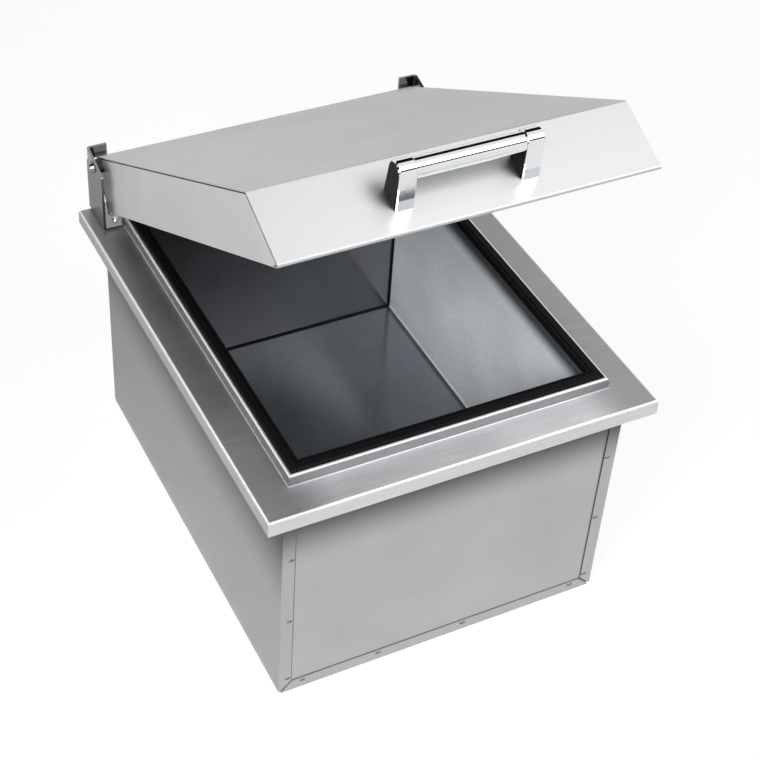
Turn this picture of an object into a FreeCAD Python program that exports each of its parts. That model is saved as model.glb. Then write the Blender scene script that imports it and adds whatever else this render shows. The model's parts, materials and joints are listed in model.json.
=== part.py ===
"""Drop-in cooler: an insulated steel ice chest that hangs in a counter by its rim, with a hinged lid.

Millimetres. X runs along the front to the right, Y to the rear, Z up. The origin lies under the middle of
the rim, on the plane that the body stands on. The lid is built shut, then turned to its half-open rest.
"""
import FreeCAD, Part
import math
import os

# Rim: a flange with a turned-down lip outside and an upright collar inside, folded from one sheet
RIM_WIDTH = 380.0
RIM_DEPTH = 462.0
RIM_HEIGHT = 253.0
RIM_SHEET = 1.2
LIP_HEIGHT = 17.0
LIP_RETURN = 9.0
FLANGE_WIDTH = 33.0
COLLAR_HEIGHT = 10.5
COLLAR_HEM = 3.2
RIM_BEND = 1.6

# Rubber gasket inside the collar
GASKET_WIDTH = 11.5
GASKET_HEIGHT = 7.0
GASKET_RISE = 2.5
GASKET_ROUND = 2.4
GASKET_GROOVE = 1.4
GASKET_GROOVE_DEPTH = 1.2
GASKET_BEAD = 2.2
GASKET_BEAD_ROUND = 0.7

# Outer body: a folded wrap, closed by an end panel at the front and at the rear
BODY_SHEET = 1.0
BODY_BEND = 1.2
SIDE_OVERHANG = 22.0
FRONT_OVERHANG = 18.0
REAR_OVERHANG = 12.0
END_FLANGE = 12.0
CORNER_SLIT = 1.4

# Liner of the ice well
LINER_SHEET = 1.0
LINER_BEND = 2.5
LINER_INSET = 50.0
FLOOR_HEIGHT = 65.0
LINER_FLANGE = 12.0

# Insulation
FOAM_CLEARANCE = 0.5
FOAM_HEADROOM = 9.0

# Drain in the floor, flush with the bottom, and its stopper
DRAIN_FORWARD = 75.0
DRAIN_THREAD_RADIUS = 9.3
DRAIN_THREAD_LENGTH = 22.0
DRAIN_WALL = 3.5
DRAIN_BORE_RADIUS = 7.5
DRAIN_SEAT_RADIUS = 10.5
DRAIN_SEAT_DEPTH = 9.0
DRAIN_FLANGE_RADIUS = 19.0
DRAIN_FLANGE_SHEET = 1.6
STOPPER_HEAD_RADIUS = 14.0
STOPPER_HEAD = 3.0
STOPPER_GRIP_RADIUS = 5.0
STOPPER_WAIST_RADIUS = 3.5
STOPPER_WAIST_HEIGHT = 4.5
STOPPER_GRIP_HEIGHT = 9.0

# Lid, measured shut
LID_REST_ANGLE = 29.0
LID_OPEN_ANGLE = 117.0
LID_SHEET = 1.0
LID_BEND = 1.2
LID_SIDE_INSET = 20.0
LID_FRONT_INSET = 1.0
LID_REAR_INSET = 8.0
LID_HEIGHT = 55.0
LID_SLOPE_RUN = 42.0
LID_HEM = 10.0
LID_SEAM = 1.2
PAN_SHEET = 0.8
PAN_FLANGE = 12.0

# Handle on the lid's sloping front
HANDLE_LENGTH = 128.0
HANDLE_BAR_RADIUS = 8.5
HANDLE_STANDOFF = 26.5
HANDLE_DOWN_SLOPE = 28.0
POST_WIDTH = 16.0
POST_BASE = 24.0
POST_FOOT_BELOW_BAR = 7.7
POST_TOP_WALL = 1.2
POST_END_WALL = 3.0
POST_EDGE = 1.0
POST_SCREW_RADIUS = 2.5
POST_SCREW_GRIP = 14.0
POST_SCREW_HEAD_RADIUS = 4.5
POST_SCREW_HEAD = 3.0

# Hinge brackets and pivots
BRACKET_PLATE = 2.5
BRACKET_INSET = 11.5
BRACKET_DEPTH = 41.0
BRACKET_REAR_INSET = 1.0
BRACKET_TOP_DROP = 10.0
BRACKET_BEND = 1.2
BRACKET_CORNER = 3.0
STOP_TAB_REACH = 20.0
STOP_TAB_HEIGHT = 13.0
STOP_TAB_RELIEF = 1.5
PIVOT_FROM_LID_REAR = 11.0
PIVOT_BELOW_LID_TOP = 8.0
PIVOT_RADIUS = 4.0
PIVOT_HEAD_RADIUS = 6.0
PIVOT_HEAD = 3.4
PIVOT_CROWN_RADIUS = 4.2
PIVOT_NUT = 5.0
PIVOT_NUT_RADIUS = 6.6
PIVOT_BUSH_RADIUS = 7.0
PIVOT_PLATE_SIZE = 24.0
PIVOT_PLATE_SHEET = 3.0
FOOT_BOLT_RADIUS = 2.0
FOOT_BOLT_HEAD_RADIUS = 3.8
FOOT_BOLT_CROWN_RADIUS = 2.4
FOOT_BOLT_HEAD = 2.4
FOOT_NUT_RADIUS = 4.0
FOOT_NUT = 3.2
FOOT_BOLT_MARGIN = 11.0

# Clearances
FIT = 0.3
RUNNING_FIT = 0.05

# Places worked out from the sizes above
HALF_WIDTH = RIM_WIDTH / 2
FRONT = -RIM_DEPTH / 2
REAR = RIM_DEPTH / 2
RIM_UNDERSIDE = RIM_HEIGHT - RIM_SHEET
BODY_HALF = HALF_WIDTH - SIDE_OVERHANG
BODY_FRONT = FRONT + FRONT_OVERHANG
BODY_REAR = REAR - REAR_OVERHANG
LINER_HALF = HALF_WIDTH - LINER_INSET
LINER_FRONT = FRONT + LINER_INSET
LINER_REAR = REAR - LINER_INSET
GASKET_OUTER = FLANGE_WIDTH + COLLAR_HEM + FIT
GASKET_TOP = RIM_HEIGHT + COLLAR_HEIGHT + GASKET_RISE
LINER_TOP = GASKET_TOP - GASKET_HEIGHT
LID_HALF = HALF_WIDTH - LID_SIDE_INSET
LID_FRONT = FRONT + LID_FRONT_INSET
LID_REAR = REAR - LID_REAR_INSET
LID_BOTTOM = GASKET_TOP + FIT
LID_TOP = LID_BOTTOM + LID_HEIGHT
PAN_HALF = LID_HALF - LID_SHEET - FIT
PIVOT_Y = LID_REAR - PIVOT_FROM_LID_REAR
PIVOT_Z = LID_TOP - PIVOT_BELOW_LID_TOP
POST_DOWN_SLOPE = HANDLE_DOWN_SLOPE + POST_FOOT_BELOW_BAR


def vec(x, y, z):
    return FreeCAD.Vector(x, y, z)


def box(low, high):
    """A block between two opposite corners."""
    size = vec(*high) - vec(*low)
    return Part.makeBox(size.x, size.y, size.z, vec(*low))


def cylinder(radius, length, base, direction):
    return Part.makeCylinder(radius, length, base, direction)


def hole_through(radius, face_point, inward, thickness):
    """Cutter for a round hole through a sheet, longer than the sheet at both ends."""
    start = face_point - inward * thickness
    return cylinder(radius, 3 * thickness, start, inward)


def outline(points, radii, place):
    """Edges of a path through flat points, with an arc of the given radius at each inner corner."""
    edges = []
    start = place(*points[0])
    for before, corner, after, radius in zip(points, points[1:], points[2:], radii):
        into = FreeCAD.Vector(corner[0] - before[0], corner[1] - before[1], 0).normalize()
        out = FreeCAD.Vector(after[0] - corner[0], after[1] - corner[1], 0).normalize()
        turn = into.getAngle(out)
        if radius <= 0 or turn < 1e-6:
            end = place(*corner)
            edges.append(Part.makeLine(start, end))
            start = end
            continue
        setback = radius * math.tan(turn / 2)
        sag = radius * (1 / math.cos(turn / 2) - 1)
        inward = (out - into).normalize()
        first = place(corner[0] - into.x * setback, corner[1] - into.y * setback)
        middle = place(corner[0] + inward.x * sag, corner[1] + inward.y * sag)
        last = place(corner[0] + out.x * setback, corner[1] + out.y * setback)
        if first.distanceToPoint(start) > 1e-6:
            edges.append(Part.makeLine(start, first))
        edges.append(Part.Arc(first, middle, last).toShape())
        start = last
    edges.append(Part.makeLine(start, place(*points[-1])))
    return edges


def sheet_face(points, thickness, bend, place):
    """Section of a folded sheet: one face follows the points, the sheet lies on their left-hand side."""
    offset = []
    near = []
    far = []
    directions = []
    for a, b in zip(points, points[1:]):
        directions.append(FreeCAD.Vector(b[0] - a[0], b[1] - a[1], 0).normalize())
    normals = [FreeCAD.Vector(-d.y, d.x, 0) for d in directions]
    for i, point in enumerate(points):
        first = normals[max(i - 1, 0)]
        second = normals[min(i, len(normals) - 1)]
        shift = (first + second) * (thickness / (1 + first.dot(second)))
        offset.append((point[0] + shift.x, point[1] + shift.y))
    for first, second in zip(directions, directions[1:]):
        turns_left = first.x * second.y - first.y * second.x > 0
        near.append(bend + thickness if turns_left else bend)
        far.append(bend if turns_left else bend + thickness)
    edges = outline(points, near, place)
    edges.append(Part.makeLine(place(*points[-1]), place(*offset[-1])))
    edges += outline(offset[::-1], far[::-1], place)
    edges.append(Part.makeLine(place(*offset[0]), place(*points[0])))
    return Part.Face(Part.Wire(Part.__sortEdges__(edges)))


def closed_face(points, radii, place):
    """Face inside a closed outline; the first point is a sharp corner."""
    edges = outline(points + points[:1], radii, place)
    return Part.Face(Part.Wire(Part.__sortEdges__(edges)))


def swept_frame(face):
    """Sweeps a section from the middle of the front round the rim's rectangle, with mitred corners."""
    corners = [
        vec(0, FRONT, 0),
        vec(HALF_WIDTH, FRONT, 0),
        vec(HALF_WIDTH, REAR, 0),
        vec(-HALF_WIDTH, REAR, 0),
        vec(-HALF_WIDTH, FRONT, 0),
        vec(0, FRONT, 0),
    ]
    path = Part.makePolygon(corners)
    right_corner = 1
    return path.makePipeShell([face.OuterWire], True, False, right_corner)


def from_front_edge(inward, height):
    """Place in the section of the front side of the rim, from its outer edge and its top face."""
    return vec(0, FRONT + inward, RIM_HEIGHT + height)


def both_sides(shape):
    """A left-hand piece and its mirror image on the right."""
    return shape, shape.mirror(vec(0, 0, 0), vec(1, 0, 0))


def rim_frame():
    points = [
        (LIP_RETURN, -LIP_HEIGHT),
        (0, -LIP_HEIGHT),
        (0, 0),
        (FLANGE_WIDTH, 0),
        (FLANGE_WIDTH, COLLAR_HEIGHT),
        (FLANGE_WIDTH + COLLAR_HEM, COLLAR_HEIGHT),
    ]
    mirrored = [(-inward, height) for inward, height in points]
    face = sheet_face(mirrored, RIM_SHEET, RIM_BEND, lambda u, z: from_front_edge(-u, z))
    frame = swept_frame(face)
    for x, y in foot_bolt_places():
        for side in (-1, 1):
            centre = vec(side * x, y, RIM_UNDERSIDE)
            frame = frame.cut(hole_through(FOOT_BOLT_RADIUS + FIT, centre, vec(0, 0, 1), RIM_SHEET))
    return frame


def gasket():
    low = COLLAR_HEIGHT + GASKET_RISE - GASKET_HEIGHT
    high = COLLAR_HEIGHT + GASKET_RISE
    inner = GASKET_OUTER + GASKET_WIDTH
    groove_in = inner - GASKET_BEAD
    groove_out = groove_in - GASKET_GROOVE
    points = [
        (GASKET_OUTER, low),
        (GASKET_OUTER, high),
        (groove_out, high),
        (groove_out, high - GASKET_GROOVE_DEPTH),
        (groove_in, high - GASKET_GROOVE_DEPTH),
        (groove_in, high),
        (inner, high),
        (inner, low),
    ]
    radii = [GASKET_ROUND, 0, 0, 0, 0, GASKET_BEAD_ROUND, 0]
    return swept_frame(closed_face(points, radii, from_front_edge))


def end_flanges(y):
    """Three narrow flanges over an end panel, mitred with an open slit at the lower corners."""
    side = Part.makePolygon([
        vec(-BODY_HALF, y, CORNER_SLIT),
        vec(-BODY_HALF, y, RIM_UNDERSIDE),
        vec(-BODY_HALF + END_FLANGE, y, RIM_UNDERSIDE),
        vec(-BODY_HALF + END_FLANGE, y, END_FLANGE + CORNER_SLIT),
        vec(-BODY_HALF, y, CORNER_SLIT),
    ])
    bottom = Part.makePolygon([
        vec(-BODY_HALF + CORNER_SLIT, y, 0),
        vec(BODY_HALF - CORNER_SLIT, y, 0),
        vec(BODY_HALF - END_FLANGE - CORNER_SLIT, y, END_FLANGE),
        vec(-BODY_HALF + END_FLANGE + CORNER_SLIT, y, END_FLANGE),
        vec(-BODY_HALF + CORNER_SLIT, y, 0),
    ])
    thickness = vec(0, BODY_SHEET, 0)
    left, right = both_sides(Part.Face(side).extrude(thickness))
    return [left, right, Part.Face(bottom).extrude(thickness)]


def body_wrap():
    points = [
        (-BODY_HALF, RIM_UNDERSIDE),
        (-BODY_HALF, 0),
        (BODY_HALF, 0),
        (BODY_HALF, RIM_UNDERSIDE),
    ]
    face = sheet_face(points, BODY_SHEET, BODY_BEND, lambda x, z: vec(x, BODY_FRONT, z))
    wrap = face.extrude(vec(0, BODY_REAR - BODY_FRONT, 0))
    wrap = wrap.multiFuse(end_flanges(BODY_FRONT) + end_flanges(BODY_REAR - BODY_SHEET))
    slit = CORNER_SLIT + BODY_SHEET
    for x in (-BODY_HALF, BODY_HALF - slit):
        for y in (BODY_FRONT, BODY_REAR - slit):
            wrap = wrap.cut(box((x, y, 0), (x + slit, y + slit, slit)))
    drain = vec(0, -DRAIN_FORWARD, 0)
    wrap = wrap.cut(hole_through(drain_outer_radius() + FIT, drain, vec(0, 0, 1), BODY_SHEET))
    return wrap.removeSplitter()


def end_panel(outer_face, inward):
    """A flat sheet behind the end flanges; inward is +1 at the front and -1 at the rear."""
    near = outer_face + inward * BODY_SHEET
    far = near + inward * BODY_SHEET
    half = BODY_HALF - BODY_SHEET - FIT
    low = BODY_SHEET + FIT + BODY_BEND
    return box((-half, min(near, far), low), (half, max(near, far), RIM_UNDERSIDE))


def liner_wrap():
    """Left wall, floor and right wall of the ice well, with flanges turned out under the gasket."""
    points = [
        (-LINER_HALF - LINER_FLANGE, LINER_TOP),
        (-LINER_HALF, LINER_TOP),
        (-LINER_HALF, FLOOR_HEIGHT),
        (LINER_HALF, FLOOR_HEIGHT),
        (LINER_HALF, LINER_TOP),
        (LINER_HALF + LINER_FLANGE, LINER_TOP),
    ]
    mirrored = [(-x, z) for x, z in points]
    front = LINER_FRONT - LINER_SHEET
    face = sheet_face(mirrored, LINER_SHEET, LINER_BEND, lambda x, z: vec(-x, front, z))
    wrap = face.extrude(vec(0, LINER_REAR - LINER_FRONT + 2 * LINER_SHEET, 0))
    drain = vec(0, -DRAIN_FORWARD, FLOOR_HEIGHT)
    return wrap.cut(hole_through(drain_outer_radius() + FIT, drain, vec(0, 0, -1), LINER_SHEET))


def liner_end_wall(face_y, outward):
    """A separate end wall between the side walls, with a flange turned out under the gasket."""
    half = LINER_HALF - FIT
    low = FLOOR_HEIGHT + FIT
    inner = -outward * face_y
    points = [
        (inner, low),
        (inner, LINER_TOP),
        (inner - LINER_FLANGE, LINER_TOP),
    ]
    face = sheet_face(points, LINER_SHEET, LINER_BEND, lambda u, z: vec(-half, -outward * u, z))
    wall = face.extrude(vec(2 * half, 0, 0))
    rounded = closed_face(
        [(-half, LINER_TOP), (-half, low), (half, low), (half, LINER_TOP)],
        [LINER_BEND, LINER_BEND, 0],
        lambda x, z: vec(x, face_y, z),
    )
    return wall.common(rounded.extrude(vec(0, outward * LINER_FLANGE, 0)))


def foam_slabs():
    """Five slabs of insulation between the body and the liner."""
    c = FOAM_CLEARANCE
    top = RIM_HEIGHT - FOAM_HEADROOM
    low = BODY_SHEET + c
    x_out = BODY_HALF - BODY_SHEET - c
    x_in = LINER_HALF + LINER_SHEET + c
    y_front = BODY_FRONT + 2 * BODY_SHEET + c
    y_rear = BODY_REAR - 2 * BODY_SHEET - c
    y_in_front = LINER_FRONT - LINER_SHEET - c
    y_in_rear = LINER_REAR + LINER_SHEET + c
    base = box((-x_in, y_in_front, low), (x_in, y_in_rear, FLOOR_HEIGHT - LINER_SHEET - c))
    well = cylinder(drain_outer_radius() + c, FLOOR_HEIGHT, vec(0, -DRAIN_FORWARD, 0), vec(0, 0, 1))
    side = box((-x_out, y_front, low), (-x_in - c, y_rear, top))
    left, right = both_sides(side)
    return {
        "foam_base": base.cut(well),
        "foam_left": left,
        "foam_right": right,
        "foam_front": box((-x_in, y_front, low), (x_in, y_in_front - c, top)),
        "foam_rear": box((-x_in, y_in_rear + c, low), (x_in, y_rear, top)),
    }


def drain_outer_radius():
    return DRAIN_THREAD_RADIUS + DRAIN_WALL


def turned(points, x, y):
    """A solid of revolution about an upright axis from (radius, height) points."""
    corners = [vec(radius, 0, height) for radius, height in points]
    face = Part.Face(Part.makePolygon(corners + corners[:1]))
    solid = face.revolve(vec(0, 0, 0), vec(0, 0, 1), 360)
    solid.translate(vec(x, y, 0))
    return solid


def drain_socket():
    """A threaded socket through the insulation, with a flange on the floor and a tapered seat."""
    rim_top = FLOOR_HEIGHT + DRAIN_FLANGE_SHEET
    points = [
        (DRAIN_THREAD_RADIUS, 0),
        (drain_outer_radius(), 0),
        (drain_outer_radius(), FLOOR_HEIGHT),
        (DRAIN_FLANGE_RADIUS, FLOOR_HEIGHT),
        (DRAIN_FLANGE_RADIUS - DRAIN_FLANGE_SHEET, rim_top),
        (DRAIN_SEAT_RADIUS, rim_top),
        (DRAIN_BORE_RADIUS, rim_top - DRAIN_SEAT_DEPTH),
        (DRAIN_BORE_RADIUS, DRAIN_THREAD_LENGTH),
        (DRAIN_THREAD_RADIUS, DRAIN_THREAD_LENGTH),
    ]
    return turned(points, 0, -DRAIN_FORWARD)


def drain_plug():
    """A rubber stopper: a tapered plug under a thin head, with a waisted grip."""
    seat_top = FLOOR_HEIGHT + DRAIN_FLANGE_SHEET
    head_low = seat_top + FIT
    head_top = head_low + STOPPER_HEAD
    grip_top = head_top + STOPPER_GRIP_HEIGHT
    points = [
        (0, seat_top - DRAIN_SEAT_DEPTH),
        (DRAIN_BORE_RADIUS - FIT, seat_top - DRAIN_SEAT_DEPTH),
        (DRAIN_SEAT_RADIUS - FIT, seat_top),
        (DRAIN_SEAT_RADIUS - FIT, head_low),
        (STOPPER_HEAD_RADIUS, head_low),
        (STOPPER_WAIST_RADIUS, head_top),
        (STOPPER_WAIST_RADIUS, head_top + STOPPER_WAIST_HEIGHT),
        (STOPPER_GRIP_RADIUS, (head_top + STOPPER_WAIST_HEIGHT + grip_top) / 2),
        (STOPPER_WAIST_RADIUS, grip_top),
        (0, grip_top),
    ]
    return turned(points, 0, -DRAIN_FORWARD)


def lid_outline():
    """Side outline of the lid's outer face when shut, from the rear's lower edge to the front hem."""
    return [
        (LID_REAR, LID_BOTTOM),
        (LID_REAR, LID_TOP),
        (LID_FRONT + LID_SLOPE_RUN, LID_TOP),
        (LID_FRONT, LID_BOTTOM),
        (LID_FRONT + LID_HEM, LID_BOTTOM),
    ]


def lid_skin():
    face = sheet_face(lid_outline(), LID_SHEET, LID_BEND, lambda y, z: vec(-LID_HALF, y, z))
    skin = face.extrude(vec(2 * LID_HALF, 0, 0))
    for x in post_places():
        skin = skin.cut(post_screw_hole(x))
    return skin


def slope_direction():
    """Unit vector down the lid's sloping front, when shut."""
    return vec(0, -LID_SLOPE_RUN, -LID_HEIGHT).normalize()


def slope_normal():
    """Unit vector out of the lid's sloping front, when shut."""
    down = slope_direction()
    return vec(0, down.z, -down.y)


def slope_place(x, down, out):
    """A place on or above the sloping front: along the handle, down the slope and out of the face."""
    top_edge = vec(x, LID_FRONT + LID_SLOPE_RUN, LID_TOP)
    return top_edge + slope_direction() * down + slope_normal() * out


def slope_inside(height, depth):
    """Y of the plane that lies a given depth behind the sloping front, at a height."""
    along = (height - LID_BOTTOM) * LID_SLOPE_RUN / LID_HEIGHT
    return LID_FRONT + along + depth * math.hypot(LID_SLOPE_RUN, LID_HEIGHT) / LID_HEIGHT


def lid_cheek():
    """The left side sheet of the lid, inside the skin's folds with an open seam."""
    inset = LID_SHEET + LID_SEAM
    behind_hem = LID_FRONT + LID_HEM + LID_SEAM
    hem_top = LID_BOTTOM + inset
    rear = LID_REAR - inset
    top = LID_TOP - inset
    points = [
        vec(-LID_HALF, slope_inside(hem_top, inset), hem_top),
        vec(-LID_HALF, behind_hem, hem_top),
        vec(-LID_HALF, behind_hem, LID_BOTTOM),
        vec(-LID_HALF, rear, LID_BOTTOM),
        vec(-LID_HALF, rear, top),
        vec(-LID_HALF, slope_inside(top, inset), top),
    ]
    face = Part.Face(Part.makePolygon(points + points[:1]))
    cheek = face.extrude(vec(LID_SHEET, 0, 0))
    pivot = vec(-LID_HALF, PIVOT_Y, PIVOT_Z)
    return cheek.cut(hole_through(PIVOT_RADIUS + RUNNING_FIT, pivot, vec(1, 0, 0), LID_SHEET))


def lid_pan():
    """The lid's flat underside, which meets the gasket, with flanges turned up inside the cheeks."""
    points = [
        (-PAN_HALF, LID_BOTTOM + PAN_FLANGE),
        (-PAN_HALF, LID_BOTTOM),
        (PAN_HALF, LID_BOTTOM),
        (PAN_HALF, LID_BOTTOM + PAN_FLANGE),
    ]
    front = max(slope_inside(LID_BOTTOM + PAN_FLANGE, LID_SHEET), LID_FRONT + LID_HEM) + FIT
    rear = LID_REAR - LID_SHEET - FIT
    face = sheet_face(points, PAN_SHEET, LID_BEND, lambda x, z: vec(x, front, z))
    return face.extrude(vec(0, rear - front, 0))


def lid_foam():
    """Insulation between the lid's pan and skin, clear of the pivots and the handle screws."""
    c = FOAM_CLEARANCE
    inset = LID_SHEET + c
    low = LID_BOTTOM + PAN_SHEET + c
    top = LID_TOP - inset
    half = PAN_HALF - PAN_SHEET - c
    front = LID_FRONT + LID_HEM
    front_top = LID_BOTTOM + (front - slope_inside(LID_BOTTOM, inset)) * LID_HEIGHT / LID_SLOPE_RUN
    points = [
        vec(-half, front, front_top),
        vec(-half, front, low),
        vec(-half, LID_REAR - inset, low),
        vec(-half, LID_REAR - inset, top),
        vec(-half, slope_inside(top, inset), top),
    ]
    foam = Part.Face(Part.makePolygon(points + points[:1])).extrude(vec(2 * half, 0, 0))
    reach = PIVOT_PLATE_SHEET + PIVOT_NUT + 2 * c + LID_SHEET
    pocket = PIVOT_PLATE_SIZE / 2 + c
    low_corner = (-LID_HALF, PIVOT_Y - pocket, PIVOT_Z - pocket)
    for shape in both_sides(box(low_corner, (-LID_HALF + reach, LID_REAR, LID_TOP))):
        foam = foam.cut(shape)
    for x in post_places():
        depth = POST_SCREW_HEAD + LID_SHEET + 2 * c
        start = slope_place(x, POST_DOWN_SLOPE, 0)
        foam = foam.cut(cylinder(POST_SCREW_HEAD_RADIUS + c, depth, start, slope_normal() * -1))
    return foam


def post_places():
    """Middles of the two handle posts."""
    reach = HANDLE_LENGTH / 2 - POST_WIDTH / 2
    return (-reach, reach)


def post_screw_hole(x):
    """Cutter for a handle screw's hole in the lid's front."""
    centre = slope_place(x, POST_DOWN_SLOPE, 0)
    return hole_through(POST_SCREW_RADIUS + FIT, centre, slope_normal() * -1, LID_SHEET)


def head_tangent(foot, turn):
    """Where a line from the foot of a post, seen from its side, touches the round head."""
    head = HANDLE_BAR_RADIUS + POST_TOP_WALL
    angle = math.atan2(-HANDLE_STANDOFF, foot)
    angle += turn * math.acos(head / math.hypot(foot, HANDLE_STANDOFF))
    return head * math.cos(angle), HANDLE_STANDOFF + head * math.sin(angle)


def handle_post(x):
    """A wedge-shaped post: its foot lies on the sloping front and its round head holds the bar."""
    left = x - POST_WIDTH / 2
    front_foot = POST_FOOT_BELOW_BAR + POST_BASE / 2
    rear_foot = POST_FOOT_BELOW_BAR - POST_BASE / 2

    def at(along, out):
        return slope_place(left, HANDLE_DOWN_SLOPE + along, out)

    front_touch = at(*head_tangent(front_foot, 1))
    rear_touch = at(*head_tangent(rear_foot, -1))
    head_top = at(0, HANDLE_STANDOFF + HANDLE_BAR_RADIUS + POST_TOP_WALL)
    edges = [
        Part.makeLine(at(rear_foot, 0), at(front_foot, 0)),
        Part.makeLine(at(front_foot, 0), front_touch),
        Part.Arc(front_touch, head_top, rear_touch).toShape(),
        Part.makeLine(rear_touch, at(rear_foot, 0)),
    ]
    post = Part.Face(Part.Wire(edges)).extrude(vec(POST_WIDTH, 0, 0))
    ends = [edge for edge in post.Edges if on_post_side(edge, left) and not on_lid_face(edge)]
    post = post.makeChamfer(POST_EDGE, ends)
    middle = slope_place(x, HANDLE_DOWN_SLOPE, HANDLE_STANDOFF)
    outer = 1 if x > 0 else -1
    bar_end = middle + vec(outer * (POST_WIDTH / 2 - POST_END_WALL), 0, 0)
    post = post.cut(cylinder(HANDLE_BAR_RADIUS + RUNNING_FIT, POST_WIDTH, bar_end, vec(-outer, 0, 0)))
    start = slope_place(x, POST_DOWN_SLOPE, 0)
    screw_hole = cylinder(POST_SCREW_RADIUS + RUNNING_FIT, POST_SCREW_GRIP + FIT, start, slope_normal())
    return post.cut(screw_hole)


def on_post_side(edge, left):
    """Whether an edge of a post lies in one of its two flat sides."""
    xs = [vertex.X for vertex in edge.Vertexes]
    return all(abs(x - left) < 1e-6 for x in xs) or all(abs(x - left - POST_WIDTH) < 1e-6 for x in xs)


def on_lid_face(edge):
    """Whether both ends of an edge lie on the lid's sloping front."""
    origin = slope_place(0, 0, 0)
    return all(abs((vertex.Point - origin).dot(slope_normal())) < 1e-6 for vertex in edge.Vertexes)


def handle_bar():
    reach = HANDLE_LENGTH / 2 - POST_END_WALL
    start = slope_place(-reach, HANDLE_DOWN_SLOPE, HANDLE_STANDOFF)
    return cylinder(HANDLE_BAR_RADIUS, 2 * reach, start, vec(1, 0, 0))


def handle_screws():
    """Two screws from inside the lid into the posts."""
    screws = []
    for x in post_places():
        seat = slope_place(x, POST_DOWN_SLOPE, -LID_SHEET)
        head = cylinder(POST_SCREW_HEAD_RADIUS, POST_SCREW_HEAD, seat, slope_normal() * -1)
        shank = cylinder(POST_SCREW_RADIUS, LID_SHEET + POST_SCREW_GRIP, seat, slope_normal())
        screws.append(head.fuse(shank))
    return Part.makeCompound(screws)


def foot_bolt_places():
    """Right-hand places of the bolts through the brackets' feet, with the nuts just inside the body."""
    x = BODY_HALF - BODY_SHEET - FIT - FOOT_NUT_RADIUS
    front = REAR - BRACKET_REAR_INSET - BRACKET_DEPTH + FOOT_BOLT_MARGIN
    rear = BODY_REAR - 2 * BODY_SHEET - FIT - FOOT_NUT_RADIUS
    return [(x, front), (x, rear)]


def stop_tab_top(tab_front):
    """Height of the stop tab's upper edge, which meets the top of the fully open lid."""
    angle = math.radians(LID_OPEN_ANGLE)
    run = tab_front - PIVOT_Y
    return PIVOT_Z + (PIVOT_BELOW_LID_TOP + FIT - run * math.sin(angle)) / math.cos(angle)


def hinge_bracket():
    """Left bracket: an upright plate, a foot turned in on the rim and a stop tab turned in at the rear."""
    outer = -HALF_WIDTH + BRACKET_INSET
    foot_end = -HALF_WIDTH + FLANGE_WIDTH - RIM_BEND - FIT
    rear = REAR - BRACKET_REAR_INSET
    front = rear - BRACKET_DEPTH
    top = stop_tab_top(rear - BRACKET_PLATE)
    tab_low = top - STOP_TAB_HEIGHT
    fold = rear - BRACKET_PLATE - BRACKET_BEND
    front_top = vec(outer, front, top - BRACKET_TOP_DROP)

    plate_points = [(-foot_end, RIM_HEIGHT), (-outer, RIM_HEIGHT), (-outer, top)]
    plate_face = sheet_face(plate_points, BRACKET_PLATE, BRACKET_BEND, lambda u, z: vec(-u, front, z))
    plate = plate_face.extrude(vec(0, BRACKET_DEPTH, 0))
    corner = Part.makePolygon([front_top, vec(outer, fold, top), vec(outer, front, top), front_top])
    plate = plate.cut(Part.Face(corner).extrude(vec(BRACKET_PLATE, 0, 0)))
    relief_low = (outer, fold, tab_low - STOP_TAB_RELIEF)
    plate = plate.cut(box(relief_low, (outer + BRACKET_PLATE, rear, top)))

    tab_points = [(-outer, fold - BRACKET_PLATE), (-outer, rear), (-outer - STOP_TAB_REACH, rear)]
    tab_face = sheet_face(tab_points, BRACKET_PLATE, BRACKET_BEND, lambda u, y: vec(-u, y, tab_low))
    tab = tab_face.extrude(vec(0, 0, STOP_TAB_HEIGHT))
    above_plate = Part.makePolygon(
        [
            vec(outer, fold - BRACKET_PLATE, top),
            vec(outer, fold - BRACKET_PLATE, top - BRACKET_TOP_DROP * BRACKET_PLATE / (fold - front)),
            vec(outer, fold, top),
            vec(outer, fold - BRACKET_PLATE, top),
        ]
    )
    tab = tab.cut(Part.Face(above_plate).extrude(vec(BRACKET_PLATE, 0, 0)))
    bracket = plate.fuse(tab).removeSplitter()
    bracket = bracket.makeFillet(BRACKET_CORNER, [e for e in bracket.Edges if is_at(e, front_top)])
    pivot = vec(outer, PIVOT_Y, PIVOT_Z)
    bracket = bracket.cut(hole_through(PIVOT_RADIUS + RUNNING_FIT, pivot, vec(1, 0, 0), BRACKET_PLATE))
    for x, y in foot_bolt_places():
        centre = vec(-x, y, RIM_HEIGHT)
        bracket = bracket.cut(hole_through(FOOT_BOLT_RADIUS + FIT, centre, vec(0, 0, 1), BRACKET_PLATE))
    return bracket


def is_at(edge, point):
    """Whether an edge crosses the sheet, along X, at the place of a point."""
    return all(abs(v.Y - point.y) < 1e-6 and abs(v.Z - point.z) < 1e-6 for v in edge.Vertexes)


def hexagon(radius, height, base):
    """A nut's blank with its corners on the radius."""
    corners = []
    for step in range(7):
        angle = math.radians(60 * step)
        corners.append(base + vec(radius * math.cos(angle), radius * math.sin(angle), 0))
    return Part.Face(Part.makePolygon(corners)).extrude(vec(0, 0, height))


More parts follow.
